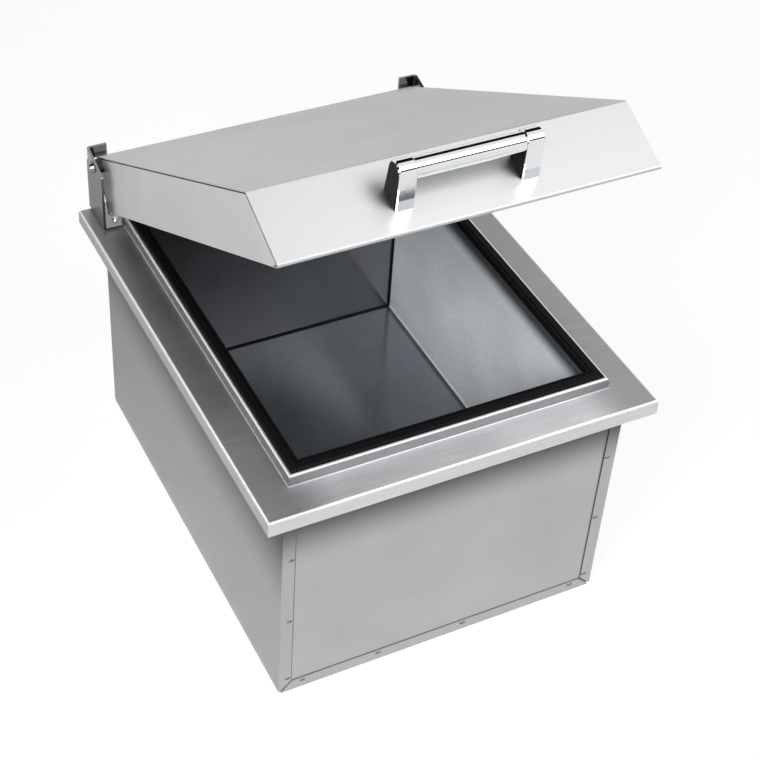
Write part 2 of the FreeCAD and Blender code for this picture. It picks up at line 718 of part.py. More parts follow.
def foot_fasteners():
    """Bolts through the feet and the rim, and their nuts under the rim."""
    bolts = []
    nuts = []
    foot_top = RIM_HEIGHT + BRACKET_PLATE
    for x, y in foot_bolt_places():
        for side in (-1, 1):
            centre = vec(side * x, y, foot_top)
            crown = FOOT_BOLT_CROWN_RADIUS
            head = Part.makeCone(FOOT_BOLT_HEAD_RADIUS, crown, FOOT_BOLT_HEAD, centre, vec(0, 0, 1))
            nut_base = vec(side * x, y, RIM_UNDERSIDE - FOOT_NUT)
            grip = foot_top - RIM_UNDERSIDE + FOOT_NUT + FOOT_BOLT_RADIUS
            shank = cylinder(FOOT_BOLT_RADIUS, grip, centre, vec(0, 0, -1))
            bolts.append(head.fuse(shank))
            bore = cylinder(FOOT_BOLT_RADIUS + RUNNING_FIT, FOOT_NUT, nut_base, vec(0, 0, 1))
            nuts.append(hexagon(FOOT_NUT_RADIUS, FOOT_NUT, nut_base).cut(bore))
    return Part.makeCompound(bolts), Part.makeCompound(nuts)


def pivot_pieces():
    """Left pivot: headed bolt, bush between bracket and cheek, load plate and nut inside the lid."""
    along = vec(1, 0, 0)

    def at(x):
        return vec(x, PIVOT_Y, PIVOT_Z)

    bracket_face = -HALF_WIDTH + BRACKET_INSET
    bush_start = bracket_face + BRACKET_PLATE + FIT
    cheek_face = -LID_HALF
    cheek_back = cheek_face + LID_SHEET
    plate_back = cheek_back + PIVOT_PLATE_SHEET
    head_back = bracket_face - FIT
    head = Part.makeCone(PIVOT_HEAD_RADIUS, PIVOT_CROWN_RADIUS, PIVOT_HEAD, at(head_back), along * -1)
    shank = cylinder(PIVOT_RADIUS, plate_back + PIVOT_NUT - head_back, at(head_back), along)
    bush = cylinder(PIVOT_BUSH_RADIUS, cheek_face - bush_start, at(bush_start), along)
    half = PIVOT_PLATE_SIZE / 2
    plate_top = min(PIVOT_Z + half, LID_TOP - LID_SHEET - LID_SEAM)
    plate_rear = min(PIVOT_Y + half, LID_REAR - LID_SHEET - LID_SEAM)
    plate = box((cheek_back, PIVOT_Y - half, PIVOT_Z - half), (plate_back, plate_rear, plate_top))
    nut = cylinder(PIVOT_NUT_RADIUS, PIVOT_NUT, at(plate_back), along)
    bolt_hole = cylinder(PIVOT_RADIUS + RUNNING_FIT, LID_HALF, at(-HALF_WIDTH), along)
    return {
        "pivot_bolt": head.fuse(shank),
        "pivot_bush": bush.cut(bolt_hole),
        "pivot_plate": plate.cut(bolt_hole),
        "pivot_nut": nut.cut(bolt_hole),
    }


def to_rest(shape):
    """Turns a piece of the shut lid to its half-open place about the pivots."""
    shape = shape.copy()
    shape.rotate(vec(0, PIVOT_Y, PIVOT_Z), vec(-1, 0, 0), LID_REST_ANGLE)
    return shape


def fixed_nodes():
    nodes = {
        "rim_frame": rim_frame(),
        "gasket": gasket(),
        "body_wrap": body_wrap(),
        "front_panel": end_panel(BODY_FRONT, 1),
        "rear_panel": end_panel(BODY_REAR, -1),
        "liner_wrap": liner_wrap(),
        "liner_front_wall": liner_end_wall(LINER_FRONT, -1),
        "liner_rear_wall": liner_end_wall(LINER_REAR, 1),
        "drain_socket": drain_socket(),
        "drain_plug": drain_plug(),
    }
    nodes.update(foam_slabs())
    nodes["hinge_bracket_left"], nodes["hinge_bracket_right"] = both_sides(hinge_bracket())
    nodes["bracket_bolts"], nodes["bracket_nuts"] = foot_fasteners()
    return nodes


def lid_nodes():
    nodes = {
        "lid_skin": lid_skin(),
        "lid_pan": lid_pan(),
        "lid_foam": lid_foam(),
        "handle_bar": handle_bar(),
        "handle_screws": handle_screws(),
    }
    nodes["lid_cheek_left"], nodes["lid_cheek_right"] = both_sides(lid_cheek())
    for name, x in zip(("handle_post_left", "handle_post_right"), post_places()):
        nodes[name] = handle_post(x)
    for name, shape in pivot_pieces().items():
        nodes[name + "_left"], nodes[name + "_right"] = both_sides(shape)
    return {name: to_rest(shape) for name, shape in nodes.items()}


os.makedirs("parts", exist_ok=True)
for name, shape in {**fixed_nodes(), **lid_nodes()}.items():
    if not shape.isValid():
        print("not valid:", name)
    shape.exportStep("parts/" + name + ".step")
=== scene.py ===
"""Looks of the drop-in cooler: a stainless ice chest that hangs in a counter by its rim, with a lid."""

import json
import math

import bmesh
import bpy
from mathutils import Matrix, Vector


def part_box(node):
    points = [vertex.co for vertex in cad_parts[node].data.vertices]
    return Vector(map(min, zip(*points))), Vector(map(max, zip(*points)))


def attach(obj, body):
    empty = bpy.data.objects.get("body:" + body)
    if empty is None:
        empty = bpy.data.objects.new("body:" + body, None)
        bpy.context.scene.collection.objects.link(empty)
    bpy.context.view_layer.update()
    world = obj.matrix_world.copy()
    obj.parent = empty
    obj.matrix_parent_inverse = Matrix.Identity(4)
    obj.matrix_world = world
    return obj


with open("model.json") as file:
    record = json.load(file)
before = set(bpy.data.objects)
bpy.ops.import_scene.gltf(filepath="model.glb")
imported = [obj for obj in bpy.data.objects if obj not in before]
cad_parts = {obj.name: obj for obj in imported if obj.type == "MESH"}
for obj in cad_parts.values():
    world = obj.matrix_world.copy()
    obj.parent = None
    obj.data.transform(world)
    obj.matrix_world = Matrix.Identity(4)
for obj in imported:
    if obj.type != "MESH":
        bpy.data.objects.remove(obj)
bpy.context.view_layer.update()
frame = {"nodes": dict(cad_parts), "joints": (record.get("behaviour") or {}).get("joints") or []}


# ---------------------------------------------------------------------------------------------------------
# Body: one stainless sheet folded to a U makes both sides and the bottom. Its narrow flanges are turned over
# a flat front and a flat rear panel and welded to them. The sheets are plain mill finished steel.
# ---------------------------------------------------------------------------------------------------------

GRAIN_LENGTH = 0.050
GRAIN_PITCH = 0.0012  # real brushing is finer: drawn so that a line is as wide as a pixel of the photograph
CLOUD_SIZE = 0.070
WAVE_SIZE = 0.160
WAVE_DEPTH = 0.0004
GRAIN_DEPTH = 0.00004
CLOUD_GLOSS = 0.12  # how far clouds and lines change the roughness
LINE_GLOSS = 0.08
SIDE_FACING = (0.6, 0.95)  # sideways part of a face's direction, from leaning to facing the side

BODY_SHADE = "#b5b6b7"
# painted shade under the rim's lip: its colour and how far down it reaches
UNDER_LIP_PAINTED_SHADE = "#343435"
PAINTED_SHADE_DEPTH = 0.070
SIDE_PAINTED_SHADE_DEPTH = 0.122  # the lip stands out further over the sides
FLANGE_EDGE = 0.012
# painted shadow line where the panels go in behind the flanges
SEAM_SHADOW_WIDTH = 0.0016
SEAM_PAINTED_SHADOW = "#6c6d6e"

WELD_SHADE = "#6e6f71"
WELD_REACH = 0.0031
WELD_BREADTH = 0.0014
WELD_RISE = 0.0004
WELD_SEGMENTS = 20
WELD_PROFILE = ((1.0, 0.0), (0.85, 1.0), (0.65, 0.7), (0.45, 0.1))  # shares of size and rise
WELD_HEIGHTS = (0.018, 0.098, 0.178)
WELD_BOTTOM_PLACES = (-0.144, -0.066, 0.024, 0.144)
WELD_INSET = 0.0088  # from the outer edge of the flange

body_low, body_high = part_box("body_wrap")
rim_low, rim_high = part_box("rim_frame")


def linear(shade):
    """An sRGB hex colour as the linear colour that shaders take."""
    parts = [int(shade[i : i + 2], 16) / 255 for i in (1, 3, 5)]
    return [c / 12.92 if c <= 0.04045 else ((c + 0.055) / 1.055) ** 2.4 for c in parts] + [1.0]


def feed(tree, socket, value):
    """Links a socket to what another node gives, or sets it."""
    if isinstance(value, bpy.types.NodeSocket):
        tree.links.new(value, socket)
    else:
        socket.default_value = value


def put(tree, kind, inputs=None, **settings):
    """Adds a shader node with its settings, and fills or links its inputs."""
    made = tree.nodes.new("ShaderNode" + kind)
    for name, value in settings.items():
        setattr(made, name, value)
    for name, value in (inputs or {}).items():
        feed(tree, made.inputs[name], value)
    return made


def new_material(name):
    """A material with only a principled shader: the material, its node tree and the shader."""
    material = bpy.data.materials.new(name)
    material.use_nodes = True
    return material, material.node_tree, material.node_tree.nodes["Principled BSDF"]


def fill(tree, shader, **sockets):
    """Links or sets sockets of a shader, such as Base_Color."""
    for name, value in sockets.items():
        feed(tree, shader.inputs[name.replace("_", " ")], value)


def place_on(tree):
    """Where a point lies on the piece."""
    return put(tree, "TexCoord").outputs["Object"]


def axes(tree, output="Object"):
    """The X, Y and Z of a point's place on the piece, or of the direction that its face looks in."""
    return put(tree, "SeparateXYZ", {0: put(tree, "TexCoord").outputs[output]}).outputs


def maths(tree, operation, *values):
    """What one operation makes of values."""
    return put(tree, "Math", dict(enumerate(values)), operation=operation).outputs[0]


def scaled(tree, value, factor, offset=0.0):
    """A value times a factor, plus an offset."""
    return maths(tree, "MULTIPLY_ADD", value, factor, offset)


def swing(tree, value, amount):
    """A value round a half, turned to an amount round zero."""
    return scaled(tree, value, amount, -amount / 2)


def tinted(tree, colour, level):
    """A colour times a level."""
    return put(tree, "VectorMath", {0: colour, "Scale": level}, operation="SCALE").outputs[0]


def blotches(tree, size, detail=3):
    """Cloudy noise round a half, with clouds of a size."""
    noise = {"Vector": place_on(tree), "Scale": 1 / size, "Detail": detail}
    return put(tree, "TexNoise", noise).outputs["Fac"]


def streaks(tree, along, tilt=0.0):
    """Brushing lines along one axis of the piece, which may be turned about X, as a value round a half."""
    size = [GRAIN_PITCH] * 3
    size["XYZ".index(along)] = GRAIN_LENGTH
    mapping = {"Vector": place_on(tree), "Rotation": (tilt, 0, 0), "Scale": size}
    stretched = put(tree, "Mapping", mapping, vector_type="TEXTURE").outputs[0]
    return put(tree, "TexNoise", {"Vector": stretched, "Scale": 1, "Detail": 2}).outputs["Fac"]


def direction(tree, vector):
    """A direction of the piece that turns with it."""
    local = put(tree, "CombineXYZ", dict(zip("XYZ", vector))).outputs[0]
    turned = {"vector_type": "VECTOR", "convert_from": "OBJECT", "convert_to": "WORLD"}
    return put(tree, "VectorTransform", {"Vector": local}, **turned).outputs[0]


def bump(tree, height, strength, depth, over=None):
    """The direction of an uneven face, over another unevenness where one is given."""
    inputs = {"Height": height, "Strength": strength, "Distance": depth}
    if over is not None:
        inputs["Normal"] = over
    return put(tree, "Bump", inputs).outputs[0]


def steel_surface(tree, shader, colour, roughness, lines, cloudy=0.10, lined=0.08):
    """Bare steel: lines and clouds vary its shade and gloss, and the sheet is not quite flat."""
    clouds = blotches(tree, CLOUD_SIZE)
    level = maths(tree, "ADD", scaled(tree, lines, lined, 1 - lined / 2), swing(tree, clouds, cloudy))
    gloss = maths(tree, "ADD", roughness, swing(tree, clouds, CLOUD_GLOSS))
    gloss = maths(tree, "ADD", gloss, swing(tree, lines, LINE_GLOSS))
    wavy = bump(tree, blotches(tree, WAVE_SIZE, detail=0), 1, WAVE_DEPTH)
    fine = bump(tree, lines, 0.25, GRAIN_DEPTH, over=wavy)
    fill(tree, shader, Base_Color=tinted(tree, colour, level), Roughness=gloss, Normal=fine, Metallic=1.0)


def rise(tree, value, low, high):
    """0 below a range of values, 1 above it, and a soft change between."""
    span = {"Value": value, "From Min": low, "From Max": high}
    return put(tree, "MapRange", span, interpolation_type="SMOOTHSTEP").outputs[0]


def blend(tree, share, first, second):
    """A value that goes from the first to the second as the share goes from 0 to 1."""
    return put(tree, "Mix", {0: share, 2: first, 3: second}).outputs[0]


def blend_colour(tree, share, first, second):
    """A colour that goes from the first to the second as the share goes from 0 to 1."""
    return put(tree, "Mix", {0: share, 6: first, 7: second}, data_type="RGBA").outputs[2]


def steel(name, shade, roughness, along, tilt=0.0, cloudy=0.10, lined=0.08, stretch=0.6, shading=None):
    """A brushed sheet with its grain along one axis: highlights spread across the grain."""
    material, tree, shader = new_material(name)
    colour = shading(tree, linear(shade)) if shading else linear(shade)[:3]
    steel_surface(tree, shader, colour, roughness, streaks(tree, along, tilt), cloudy, lined)
    grain = Matrix.Rotation(tilt, 3, "X") @ Vector([1.0 if axis == along else 0.0 for axis in "XYZ"])
    fill(tree, shader, Tangent=direction(tree, grain), Anisotropic=stretch, Anisotropic_Rotation=0.25)
    return material


def painted_shade_under_rim(tree, colour):
    """A colour with painted shade, darker towards the rim's lip, which keeps light off the sheets' tops."""
    height = axes(tree)["Z"]
    lip_bottom = rim_low[2]
    on_side = rise(tree, maths(tree, "ABSOLUTE", axes(tree, "Normal")["X"]), *SIDE_FACING)
    near_end = rise(tree, height, lip_bottom - PAINTED_SHADE_DEPTH, lip_bottom)
    near_side = rise(tree, height, lip_bottom - SIDE_PAINTED_SHADE_DEPTH, lip_bottom)
    near = blend(tree, on_side, near_end, near_side)
    return blend_colour(tree, near, colour, linear(UNDER_LIP_PAINTED_SHADE))


def painted_shadow_behind_flanges(tree, colour):
    """The same, with a painted shadow line where the panel goes in behind the flanges."""
    place = axes(tree)
    off_middle = maths(tree, "ABSOLUTE", place["X"])
    side_edge = body_high[0] - FLANGE_EDGE
    near_side = rise(tree, off_middle, side_edge - SEAM_SHADOW_WIDTH, side_edge - SEAM_SHADOW_WIDTH / 2)
    downward = scaled(tree, place["Z"], -1)
    near_bottom = rise(tree, downward, -FLANGE_EDGE - SEAM_SHADOW_WIDTH, -FLANGE_EDGE - SEAM_SHADOW_WIDTH / 2)
    near = maths(tree, "MAXIMUM", near_side, near_bottom)
    return blend_colour(tree, near, painted_shade_under_rim(tree, colour), linear(SEAM_PAINTED_SHADOW))


def dress(material, *names):
    """Gives CAD nodes a finish."""
    for name in names:
        frame["nodes"][name].material_slots[0].material = material


def mesh_piece(name, bm, material, body):
    """A finished mesh as a named piece that rides on a CAD body."""
    mesh = bpy.data.meshes.new(name)
    bmesh.ops.recalc_face_normals(bm, faces=bm.faces)
    bm.to_mesh(mesh)
    bm.free()
    piece = bpy.data.objects.new(name, mesh)
    bpy.context.scene.collection.objects.link(piece)
    mesh.materials.append(material)
    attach(piece, body)


def join_rings(bm, rings):
    """Closes a row of point rings, each with as many points, to one skin with ends."""
    rows = [[bm.verts.new(point) for point in ring] for ring in rings]
    for row, after in zip(rows, rows[1:]):
        for i in range(len(row)):
            bm.faces.new((row[i - 1], row[i], after[i], after[i - 1]))
    bm.faces.new(rows[0])
    bm.faces.new(rows[-1])


def weld_mark(bm, centre, out):
    """A weld mark: a short dent across the flange, with a raised edge where the metal was pressed out."""
    turns = [2 * math.pi * i / WELD_SEGMENTS for i in range(WELD_SEGMENTS)]
    rings = []
    for share, rise_share in WELD_PROFILE:
        reach, breadth = share * WELD_REACH, share * WELD_BREADTH
        depth = rise_share * WELD_RISE * out
        rings.append([centre + Vector((reach * math.cos(a), depth, breadth * math.sin(a))) for a in turns])
    join_rings(bm, rings)


# Mill finished stainless: a soft grey sheen with faint upright lines, cloudier on the flat panels, with
# painted shade under the rim's lip; the panels also get a painted shadow line behind the flanges.
body_look = {"cloudy": 0.12, "lined": 0.18, "shading": painted_shade_under_rim}
body_steel = steel("stainless_mill_finish", BODY_SHADE, 0.44, "Z", **body_look)
panel_look = {"cloudy": 0.26, "lined": 0.03, "stretch": 0.3, "shading": painted_shadow_behind_flanges}
panel_steel = steel("stainless_mill_finish_panel", BODY_SHADE, 0.46, "Z", **panel_look)
# Steel that the welding has dulled: darker than the sheet round it.
weld_steel = steel("stainless_spot_weld", WELD_SHADE, 0.28, "Z", cloudy=0.10, lined=0.0, stretch=0.0)
dress(body_steel, "body_wrap")
dress(panel_steel, "front_panel", "rear_panel")

for end, y, out in (("front", body_low[1], -1), ("rear", body_high[1], 1)):
    marks = bmesh.new()
    for side in (body_low[0] + WELD_INSET, body_high[0] - WELD_INSET):
        for height in WELD_HEIGHTS:
            weld_mark(marks, Vector((side, y, height)), out)
    for x in WELD_BOTTOM_PLACES:
        weld_mark(marks, Vector((x, y, WELD_INSET)), out)
    mesh_piece(f"weld_marks_{end}", marks, weld_steel, "base")


# ---------------------------------------------------------------------------------------------------------
# Insulation: rigid polyurethane foam slabs fill the room between body and liner. They are closed in on all
# sides and show only if a sheet is taken off.
# ---------------------------------------------------------------------------------------------------------

FOAM_SHADE = "#e3d6a8"
FOAM_CELL = 0.0022


def foam():
    """Pale cut foam: matt, with small open cells."""
    material, tree, shader = new_material("polyurethane_foam")
    cells = put(tree, "TexVoronoi", {"Vector": place_on(tree), "Scale": 1 / FOAM_CELL}).outputs["Distance"]
    pitted = bump(tree, cells, 0.6, FOAM_CELL / 4)
    shaded = tinted(tree, linear(FOAM_SHADE)[:3], scaled(tree, cells, -0.3, 1.0))
    fill(tree, shader, Base_Color=shaded, Normal=pitted, Roughness=0.92)
    return material


dress(foam(), "foam_base", "foam_front", "foam_left", "foam_rear", "foam_right", "lid_foam")


# ---------------------------------------------------------------------------------------------------------
# Liner: the walls and floor of the ice well. One folded sheet makes the floor and both sides, and the end
# walls are let in and sealed all round with a black bead. The steel has a cloudy satin finish.
# ---------------------------------------------------------------------------------------------------------

LINER_HALF = 0.140
LINER_FLOOR = 0.065
LINER_END = 0.181
LINER_BEND = 0.0025
LINER_BEAD_TOP = 0.257
LINER_BEAD = 0.0026
BEAD_HOLLOW = 0.3  # share of the bead left at the middle of its face
BEND_STEPS = 5

# painted light and shade on the liner's one sheet: the walls painted lighter, the floor darker
LIT_LINER_WALL_SHADE = "#dfe4e7"
SHADED_LINER_FLOOR_SHADE = "#70757b"
# painted shade: the end walls are painted darker
SHADED_LINER_END_SHADE = "#7b7a7a"
# painted highlight along the bend from the floor to the walls
LINER_BEND_HIGHLIGHT = "#f2f4f5"
# painted shadow along the floor's edges beside the bend
LINER_CORNER_SHADOW = "#404347"
LINER_CORNER_SHADOW_WIDTH = 0.005
# painted shadow at the top of the walls, under the gasket
LINER_GASKET_SHADOW = "#3c4043"
BEND_FOOT = (LINER_FLOOR + 0.0002, LINER_FLOOR + 0.0015)  # heights where the floor turns to the bend
BEND_HEAD = (LINER_FLOOR + 0.004, LINER_FLOOR + 0.006)  # heights where the bend has become the wall
GASKET_SHADOW_HEIGHTS = (LINER_BEAD_TOP - 0.020, LINER_BEAD_TOP)
LINER_SPECK = 0.0016  # the satin's specks are finer: drawn as wide as a pixel of the photograph
DRAIN_SHADE = "#a9acae"
SEALANT_SHADE = "#060607"
RUBBER_PATCH = 0.025
RUBBER_GRAIN = 0.0011
RUBBER_GRAIN_DEPTH = 0.0001


def liner_finish():
    """Satin stainless with painted light and shade: the walls scatter light, the floor mirrors the dark."""
    material, tree, shader = new_material("stainless_satin_liner")
    place = axes(tree)
    height = place["Z"]
    up_wall = rise(tree, height, *BEND_FOOT)
    past_bend = rise(tree, height, *BEND_HEAD)
    off_middle = maths(tree, "ABSOLUTE", place["X"])
    # painted shadow along the floor's edges
    at_edge = rise(tree, off_middle, LINER_HALF - LINER_BEND - LINER_CORNER_SHADOW_WIDTH, LINER_HALF - LINER_BEND)
    colour = blend_colour(tree, at_edge, linear(SHADED_LINER_FLOOR_SHADE), linear(LINER_CORNER_SHADOW))
    # painted highlight on the bend
    colour = blend_colour(tree, up_wall, colour, linear(LINER_BEND_HIGHLIGHT))
    colour = blend_colour(tree, past_bend, colour, linear(LIT_LINER_WALL_SHADE))
    # painted shadow under the gasket
    colour = blend_colour(tree, rise(tree, height, *GASKET_SHADOW_HEIGHTS), colour, linear(LINER_GASKET_SHADOW))
    gloss = blend(tree, up_wall, 0.16, 0.40)
    steel_surface(tree, shader, colour, gloss, blotches(tree, LINER_SPECK, 2), cloudy=0.35, lined=0.45)
    fill(tree, shader, Metallic=0.5)
    return material


def liner_end_finish():
    """Satin stainless, smoother than the wrap to mirror the shaded inside, and darker as painted shade."""
    material, tree, shader = new_material("stainless_satin_liner_end")
    shade = linear(SHADED_LINER_END_SHADE)[:3]
    steel_surface(tree, shader, shade, 0.16, blotches(tree, LINER_SPECK, 2), cloudy=0.40, lined=0.45)
    return material


def rubber(name, shade, roughness, shine=0.25):
    """Moulded black rubber: almost matt, with a fine uneven skin."""
    material, tree, shader = new_material(name)
    patches = blotches(tree, RUBBER_PATCH, 2)
    skin = bump(tree, blotches(tree, RUBBER_GRAIN), 0.3, RUBBER_GRAIN_DEPTH)
    shaded = tinted(tree, linear(shade)[:3], scaled(tree, patches, 0.5, 0.75))
    gloss = scaled(tree, patches, 0.2, roughness - 0.1)
    fill(tree, shader, Base_Color=shaded, Roughness=gloss, Normal=skin, Specular_IOR_Level=shine)
    return material


def offset_path(points, distance):
    """A flat path moved sideways to its left, mitred at its corners."""
    ways = [(b - a).normalized() for a, b in zip(points, points[1:])]
    lefts = [Vector((-way.y, way.x)) for way in ways]
    lefts = lefts[:1] + lefts + lefts[-1:]
    return [p + (a + b) * distance / (1 + a.dot(b)) for p, a, b in zip(points, lefts, lefts[1:])]


def liner_corner():
    """The corner line of an end wall, seen along the well: down on the left, along the floor and up."""
    path = [Vector((-LINER_HALF, LINER_BEAD_TOP))]
    for side, start in ((-1, math.pi), (1, 1.5 * math.pi)):
        centre = Vector((side * (LINER_HALF - LINER_BEND), LINER_FLOOR + LINER_BEND))
        for step in range(BEND_STEPS):
            turn = start + math.pi / 2 * step / (BEND_STEPS - 1)
            path.append(centre + LINER_BEND * Vector((math.cos(turn), math.sin(turn))))
    return path + [Vector((LINER_HALF, LINER_BEAD_TOP))]


def liner_bead(end):
    """A hollow fillet of sealant in the corner of one end wall: end is -1 in front and 1 at the rear."""
    wall = end * LINER_END
    corner = liner_corner()
    rings = []
    for outer, inner in zip(corner, offset_path(corner, LINER_BEAD)):
        hollow = outer.lerp(inner, BEAD_HOLLOW)
        rings.append(
            [
                Vector((outer.x, wall, outer.y)),
                Vector((inner.x, wall, inner.y)),
                Vector((hollow.x, wall - end * LINER_BEAD * BEAD_HOLLOW, hollow.y)),
                Vector((outer.x, wall - end * LINER_BEAD, outer.y)),
            ]
        )
    bead = bmesh.new()
    join_rings(bead, rings)
    return bead


# Turned stainless: a plain bright ring in the floor.
drain_steel = steel("stainless_turned_drain", DRAIN_SHADE, 0.30, "Z", cloudy=0.05, lined=0.05, stretch=0.0)
# Cured sealant: a thin dark line with a slight shine.
sealant = rubber("black_sealant", SEALANT_SHADE, 0.5)
dress(liner_finish(), "liner_wrap")
dress(liner_end_finish(), "liner_front_wall", "liner_rear_wall")
dress(drain_steel, "drain_socket")
mesh_piece("liner_sealant_front", liner_bead(-1), sealant, "base")
mesh_piece("liner_sealant_rear", liner_bead(1), sealant, "base")


# ---------------------------------------------------------------------------------------------------------
# Stopper: a moulded rubber plug with a tapered foot, pressed into the drain in the floor of the well. It is
# drawn out by the waisted grip on its head.
# ---------------------------------------------------------------------------------------------------------

STOPPER_SHADE = "#2a2c2f"

# Dark grey rubber: matt, and a little lighter than the gasket.
dress(rubber("stopper_rubber", STOPPER_SHADE, 0.6), "drain_plug")


# ---------------------------------------------------------------------------------------------------------
# Rim: one folded frame with a turned-down lip, a broad flange and a raised collar. The sheet is brushed from
# side to side. The bend of the lip and the hemmed edge of the collar have painted highlights, and the side
# flanges, the sideways faces of the lip and the wall of the collar have painted shade.
# ---------------------------------------------------------------------------------------------------------

RIM_SHADE = "#d8d9db"
# painted shade on the side flanges
SHADED_RIM_SIDE_SHADE = "#9d9ea0"
RIM_SIDE = (0.115, 0.165)  # from the middle, where the ends turn to the sides in painted shade
LIP_SHADE = "#d2d3d4"
# painted shade on the lip where it faces the sides
SHADED_LIP_SIDE_SHADE = "#bdbebf"
# painted highlight along the bend of the lip: its width and colour
LIP_BEND = 0.0024
LIP_BEND_HIGHLIGHT = "#d9dadb"
# painted highlight along the collar's hemmed edge
COLLAR_EDGE_HIGHLIGHT = "#cfd0d1"
COLLAR_EDGE = 0.0012
# painted shade on the wall of the collar
SHADED_COLLAR_SHADE = "#8f9092"
RIM_HEIGHT = 0.253
LIP_TO_FLANGE = (RIM_HEIGHT - 0.0005, RIM_HEIGHT + 0.0005)
COLLAR_FOOT = (RIM_HEIGHT + 0.0001, RIM_HEIGHT + 0.0006)
UP_FACING = (0.3, 0.8)  # upward part of a face's direction, from the bend to the flat flange


def rim_finish():
    """Brushed stainless, with painted highlights on the lip's bend and collar's edge, and painted shade."""
    material, tree, shader = new_material("stainless_brushed_rim")
    place = axes(tree)
    height = place["Z"]
    facing = axes(tree, "Normal")
    sideways = rise(tree, maths(tree, "ABSOLUTE", facing["X"]), *SIDE_FACING)
    # painted shade on the sideways faces of the lip
    lip = blend_colour(tree, sideways, linear(LIP_SHADE), linear(SHADED_LIP_SIDE_SHADE))
    upward = rise(tree, facing["Z"], *UP_FACING)
    on_flange = maths(tree, "MAXIMUM", upward, rise(tree, height, *LIP_TO_FLANGE))
    off_middle = maths(tree, "ABSOLUTE", place["X"])
    toward_shaded_side = rise(tree, off_middle, *RIM_SIDE)
    colour = blend_colour(tree, toward_shaded_side, linear(RIM_SHADE), linear(SHADED_RIM_SIDE_SHADE))
    colour = blend_colour(tree, on_flange, lip, colour)
    off_centre = maths(tree, "ABSOLUTE", place["Y"])
    at_side = rise(tree, off_middle, rim_high[0] - LIP_BEND, rim_high[0] - LIP_BEND / 2)
    at_end = rise(tree, off_centre, rim_high[1] - LIP_BEND, rim_high[1] - LIP_BEND / 2)
    at_edge = maths(tree, "MAXIMUM", at_side, at_end)
    at_top = rise(tree, height, RIM_HEIGHT - LIP_BEND, RIM_HEIGHT - LIP_BEND / 2)
    # painted highlight on the lip's bend
    on_bend_highlight = maths(tree, "MULTIPLY", at_edge, at_top)
    colour = blend_colour(tree, on_bend_highlight, colour, linear(LIP_BEND_HIGHLIGHT))
    # painted shade on the collar's wall
    colour = blend_colour(tree, rise(tree, height, *COLLAR_FOOT), colour, linear(SHADED_COLLAR_SHADE))
    # painted highlight on the collar's edge
    on_edge_highlight = rise(tree, height, rim_high[2] - COLLAR_EDGE, rim_high[2] - COLLAR_EDGE / 2)
    colour = blend_colour(tree, on_edge_highlight, colour, linear(COLLAR_EDGE_HIGHLIGHT))
    gloss = blend(tree, on_flange, 0.34, 0.50)
    steel_surface(tree, shader, colour, gloss, streaks(tree, "X"), cloudy=0.08, lined=0.32)
    fill(tree, shader, Tangent=direction(tree, (1, 0, 0)), Anisotropic=0.6, Anisotropic_Rotation=0.25)
    return material


dress(rim_finish(), "rim_frame")


# ---------------------------------------------------------------------------------------------------------
# Gasket: an extruded black rubber frame, laid on the opening inside the collar. The pan of the lid comes
# down on it.
# ---------------------------------------------------------------------------------------------------------

GASKET_SHADE = "#070708"

# Black rubber with hardly any shine: the darkest line of the object.
dress(rubber("gasket_rubber", GASKET_SHADE, 0.6, 0.1), "gasket")


# ---------------------------------------------------------------------------------------------------------
# Hinge brackets: folded plates bolted to the rim, with a foot turned in to the collar and a stop tab at the
# top of the rear edge.
# ---------------------------------------------------------------------------------------------------------

BRACKET_SHADE = "#8a8c8e"
FASTENER_SHADE = "#b4b5b5"

# Cold rolled plate: darker than the sheets and almost a mirror.
bracket_steel = steel("stainless_cold_rolled_bracket", BRACKET_SHADE, 0.20, "Z", cloudy=0.10, lined=0.06)
# Bright bolts and nuts: small clear highlights on the dark brackets.
fastener_look = {"cloudy": 0.06, "lined": 0.04, "stretch": 0.0}
fastener_steel = steel("stainless_fasteners", FASTENER_SHADE, 0.24, "Z", **fastener_look)
dress(bracket_steel, "hinge_bracket_left", "hinge_bracket_right")
dress(fastener_steel, "bracket_bolts", "bracket_nuts")


# ---------------------------------------------------------------------------------------------------------
# Lid: one folded sheet makes the back, the top and the sloping front. Cheeks close the sides with a sealed
# seam under the folds, and a pan closes the bottom and meets the gasket.
# ---------------------------------------------------------------------------------------------------------

LID_HALF = 0.170
LID_FRONT = -0.230
LID_REAR = 0.223
LID_BOTTOM = 0.2663
LID_TOP = 0.3213
LID_SLOPE_RUN = 0.042
LID_SHEET = 0.001
LID_SEAM = 0.0012
SEAM_SUNK = 0.0003
SEAM_DISH = 0.0002
SEAM_DEPTH = 0.0014
SEAM_SHORT = 0.08  # share of the slope that the strip stops short of the hem

LID_SHADE = "#babbbc"
LIT_CHEEK_SHADE = "#c4c5c6"
SHADED_PAN_SHADE = "#86888a"

hinge = next(joint for joint in frame["joints"] if joint["name"] == "lid_hinge")
pivot = Vector(hinge["pos_m"])
lid_tilt = math.radians(hinge["range_deg"][0])
lid_to_rest = Matrix.Translation(pivot) @ Matrix.Rotation(lid_tilt, 4, "X") @ Matrix.Translation(-pivot)


def lid_seam():
    """Middle line of the seam when shut, along the lid: up the back, over the top and down the slope."""
    outline = [
        Vector((LID_REAR, LID_BOTTOM)),
        Vector((LID_REAR, LID_TOP)),
        Vector((LID_FRONT + LID_SLOPE_RUN, LID_TOP)),
        Vector((LID_FRONT, LID_BOTTOM)),
    ]
    line = offset_path(outline, LID_SHEET + LID_SEAM / 2)
    line[-1] = line[-1].lerp(line[-2], SEAM_SHORT)
    return line


